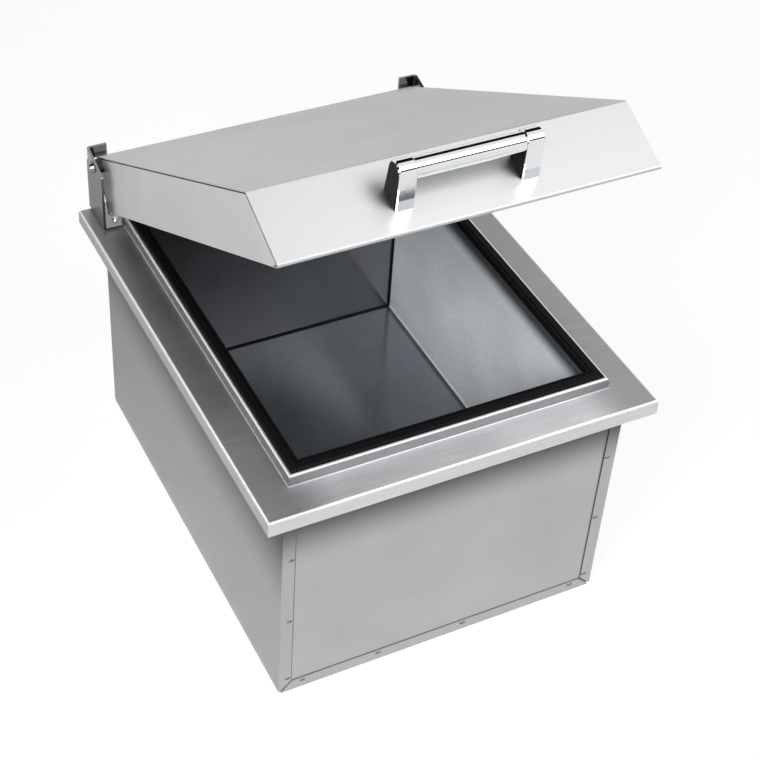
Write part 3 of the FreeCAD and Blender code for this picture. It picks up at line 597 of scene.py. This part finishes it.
def seam_sealant_and_shade(side):
    """A thin dished strip of sealant and painted shade in one cheek's seam: side is -1 left and 1 right."""
    face = side * (LID_HALF - SEAM_SUNK)
    dish = side * (LID_HALF - SEAM_SUNK - SEAM_DISH)
    back = side * (LID_HALF - SEAM_SUNK - SEAM_DEPTH)
    middle = lid_seam()
    rings = []
    for low, mid, high in zip(offset_path(middle, LID_SEAM / 2), middle, offset_path(middle, -LID_SEAM / 2)):
        ring = ((face, low), (dish, mid), (face, high), (back, high), (back, low))
        rings.append([lid_to_rest @ Vector((x, place.x, place.y)) for x, place in ring])
    strip = bmesh.new()
    join_rings(strip, rings)
    return strip


# Brushed across the lid: bright bands lie along it, and the slope glows where it faces the softbox.
lid_steel = steel("stainless_brushed_lid", LID_SHADE, 0.44, "X", cloudy=0.05, lined=0.10, stretch=0.8)
# Brushed upright, and painted a little lighter than the top: painted light.
cheek_look = {"tilt": lid_tilt, "cloudy": 0.05, "lined": 0.08}
cheek_steel = steel("stainless_brushed_cheek", LIT_CHEEK_SHADE, 0.36, "Z", **cheek_look)
# Plain sheet: a dull grey that mirrors the room only as soft patches, painted darker as painted shade
# under the lid.
pan_steel = steel("stainless_plain_pan", SHADED_PAN_SHADE, 0.36, "X", cloudy=0.12, lined=0.04, stretch=0.3)
dress(lid_steel, "lid_skin")
dress(pan_steel, "lid_pan")
dress(cheek_steel, "lid_cheek_left", "lid_cheek_right")
# the black sealant strips also stand in for the shade deep in the lid's seams
mesh_piece("lid_sealant_and_shade_left", seam_sealant_and_shade(-1), sealant, "lid")
mesh_piece("lid_sealant_and_shade_right", seam_sealant_and_shade(1), sealant, "lid")


# ---------------------------------------------------------------------------------------------------------
# Pivots: a plated bolt through each bracket turns in a nylon bush. A nut holds it inside the lid, on a steel
# plate that spreads the load.
# ---------------------------------------------------------------------------------------------------------

BUSH_SHADE = "#232325"
PIVOT_SHADE = "#8f9092"

# Dark plated steel, as the photograph shows the pivots against the bright foot bolts.
pivot_steel = steel("dark_plated_pivot", PIVOT_SHADE, 0.26, "Z", **fastener_look)
# Moulded nylon: almost black, with a soft shine.
dress(rubber("bush_nylon", BUSH_SHADE, 0.5), "pivot_bush_left", "pivot_bush_right")
dress(pivot_steel, "pivot_bolt_left", "pivot_bolt_right")
dress(fastener_steel, "pivot_nut_left", "pivot_nut_right", "pivot_plate_left", "pivot_plate_right")


# ---------------------------------------------------------------------------------------------------------
# Handle: a thick chromed bar between two cast and chromed posts. Screws from inside the lid hold the posts
# on its slope.
# ---------------------------------------------------------------------------------------------------------

CHROME_SHADE = "#e4e6e8"
# painted dark reflection on the flat sides of the posts
POST_SIDE_PAINTED_REFLECTION = "#0c0d0e"
SMEAR_SIZE = 0.017
SMEAR_DEPTH = 0.0002
FLAT_SIDE = (0.9, 0.99)  # sideways part of a face's direction, only on the flat sides of a post


def chrome(name, side_shade):
    """Polished chrome: mirrors the room, with a slight unevenness from casting and wiping."""
    material, tree, shader = new_material(name)
    smears = blotches(tree, SMEAR_SIZE)
    # the flat sides take their own colour, which on the posts is a painted dark reflection
    sideways = rise(tree, maths(tree, "ABSOLUTE", axes(tree, "Normal")["X"]), *FLAT_SIDE)
    colour = blend_colour(tree, sideways, linear(CHROME_SHADE), linear(side_shade))
    shaded = tinted(tree, colour, scaled(tree, smears, 0.1, 0.95))
    gloss = scaled(tree, smears, 0.08, 0.02)
    uneven = bump(tree, smears, 0.1, SMEAR_DEPTH)
    fill(tree, shader, Base_Color=shaded, Roughness=gloss, Normal=uneven, Metallic=1.0)
    return material


# The flat sides of the posts are painted near black: a painted dark reflection on the chrome.
dress(chrome("polished_chrome", CHROME_SHADE), "handle_bar")
dress(chrome("polished_chrome_painted_dark_sides", POST_SIDE_PAINTED_REFLECTION), "handle_post_left", "handle_post_right")
dress(fastener_steel, "handle_screws")


# ---------------------------------------------------------------------------------------------------------
# Studio: a white paper floor in a white surround, softboxes and black cards for the metal to mirror, and the
# camera of the photograph.
# ---------------------------------------------------------------------------------------------------------

FLOOR_SIZE = 12.0
FLOOR_SHADE = "#fafaf9"
FLOOR_GLOW = 0.85
PAPER_CLOUD = 0.33
SURROUND_LIGHT = 0.55
STUDIO_AIM = Vector((0, 0, 0.3))
HANDLE_AIM = Vector((0, -0.17, 0.53))
WELL_AIM = Vector((0.12, 0.04, 0.15))
ACROSS = Vector((1, 0, 0))
AHEAD = Vector((0, 1, 0))
UP = Vector((0, 0, 1))
# name, centre, aim, direction of the width, width, depth, power, spread
SOFTBOXES = (
    ("softbox_front", Vector((0.85, -1.14, 2.00)), HANDLE_AIM, ACROSS, 1.3, 1.1, 20.0, 180),
    ("softbox_well", Vector((-0.81, -0.65, 0.886)), WELL_AIM, AHEAD, 0.6, 0.6, 3.2, 60),
)
FLAG_SHADE = "#0c0c0d"
CARD_SHADE = "#5c5c5d"
BACK_SHADE = "#b4b4b4"
SIDE_SHADE = "#cecece"
# Cards that only the metal mirrors: name, shade, centre, aim, direction of the width, width, depth
FLAGS = (
    ("flag_upper_left", FLAG_SHADE, Vector((-1.0, -0.1, 2.0)), STUDIO_AIM, AHEAD, 3.2, 1.5),
    ("flag_front_left", FLAG_SHADE, Vector((-1.3, -1.1, 1.35)), STUDIO_AIM, AHEAD, 2.8, 2.2),
    ("flag_behind", FLAG_SHADE, Vector((1.0, 1.10, 1.94)), Vector((1.0, -0.17, 0.53)), ACROSS, 0.7, 1.4),
    ("flag_strip", FLAG_SHADE, Vector((0.67, -1.51, 1.30)), HANDLE_AIM, ACROSS, 1.0, 0.32),
)
# Cards that lie on the floor for the same use: name, shade, centre, width, depth
FLOOR_CARDS = (
    ("card_behind", BACK_SHADE, Vector((0.75, 2.0, 0.002)), 3.0, 2.4),
    ("card_left", SIDE_SHADE, Vector((-0.27, 0.15, 0.002)), 0.2, 1.0),
    ("card_near", CARD_SHADE, Vector((0.215, -0.615, 0.002)), 0.13, 0.06),
    ("card_far", CARD_SHADE, Vector((0.345, -0.666, 0.002)), 0.13, 0.06),
)

CAMERA_PLACE = Vector((-0.5930, -1.1083, 1.2811))
CAMERA_AZIMUTH = math.radians(-29.5)
CAMERA_ELEVATION = math.radians(41.84)
CAMERA_ROLL = math.radians(4.4)
CAMERA_LENS = 81.95


def seen_share(tree):
    """1 for rays from the camera, off metal or through glass, and 0 for the light that falls on things."""
    rays = put(tree, "LightPath").outputs
    seen = maths(tree, "MAXIMUM", rays["Is Camera Ray"], rays["Is Glossy Ray"])
    return maths(tree, "MAXIMUM", seen, rays["Is Transmission Ray"])


def floor_paper():
    """Matt white paper with a faint unevenness, seen as white where no shadow lies."""
    material, tree, shader = new_material("studio_paper")
    level = scaled(tree, blotches(tree, PAPER_CLOUD, 2), 0.02, 0.98)
    fill(tree, shader, Base_Color=tinted(tree, linear(FLOOR_SHADE)[:3], level), Roughness=0.9)
    white = put(tree, "Emission", {"Color": (1, 1, 1, 1), "Strength": 1.0}).outputs[0]
    share = scaled(tree, seen_share(tree), FLOOR_GLOW)
    mixed = put(tree, "MixShader", {0: share, 1: shader.outputs[0], 2: white}).outputs[0]
    tree.links.new(mixed, tree.nodes["Material Output"].inputs["Surface"])
    return material


def stage_sheet(name, material, width, depth):
    """A flat sheet of the studio, which isn't part of the object."""
    bm = bmesh.new()
    bmesh.ops.create_grid(bm, x_segments=1, y_segments=1, size=0.5)
    bmesh.ops.scale(bm, vec=(width, depth, 1), verts=bm.verts)
    mesh = bpy.data.meshes.new(name)
    bm.to_mesh(mesh)
    bm.free()
    mesh.materials.append(material)
    sheet = bpy.data.objects.new(name, mesh)
    bpy.context.scene.collection.objects.link(sheet)
    return sheet


def aim_at(holder, centre, aim, along):
    """Turns a lamp or a sheet to a place, with its width along a direction."""
    out = (centre - aim).normalized()
    across = (along - along.dot(out) * out).normalized()
    turned = Matrix((across, out.cross(across), out)).transposed()
    holder.matrix_world = Matrix.Translation(centre) @ turned.to_4x4()


stage_sheet("floor", floor_paper(), FLOOR_SIZE, FLOOR_SIZE)

world = bpy.data.worlds.new("white_surround")
world.use_nodes = True
surround = world.node_tree.nodes["Background"]
strength = scaled(world.node_tree, seen_share(world.node_tree), 1 - SURROUND_LIGHT, SURROUND_LIGHT)
fill(world.node_tree, surround, Color=(1, 1, 1, 1), Strength=strength)
bpy.context.scene.world = world

for name, centre, aim, along, width, depth, power, spread in SOFTBOXES:
    lamp = bpy.data.lights.new(name, "AREA")
    lamp.shape = "RECTANGLE"
    lamp.size, lamp.size_y, lamp.energy = width, depth, power
    lamp.spread = math.radians(spread)
    holder = bpy.data.objects.new(name, lamp)
    aim_at(holder, centre, aim, along)
    bpy.context.scene.collection.objects.link(holder)

lying = tuple((name, shade, at, at + UP, ACROSS, *size) for name, shade, at, *size in FLOOR_CARDS)
for name, shade, centre, aim, along, width, depth in FLAGS + lying:
    flag = stage_sheet(name, rubber(f"{name}_cloth", shade, 1.0), width, depth)
    aim_at(flag, centre, aim, along)
    flag.visible_camera = flag.visible_diffuse = flag.visible_shadow = False

camera = bpy.data.cameras.new("camera")
camera.lens = CAMERA_LENS
camera_object = bpy.data.objects.new("camera", camera)
turn = Matrix.Rotation(CAMERA_AZIMUTH, 4, "Z") @ Matrix.Rotation(math.pi / 2 - CAMERA_ELEVATION, 4, "X")
camera_object.matrix_world = Matrix.Translation(CAMERA_PLACE) @ turn @ Matrix.Rotation(CAMERA_ROLL, 4, "Z")
bpy.context.scene.collection.objects.link(camera_object)
bpy.context.scene.camera = camera_object
bpy.context.scene.view_settings.view_transform = "Standard"
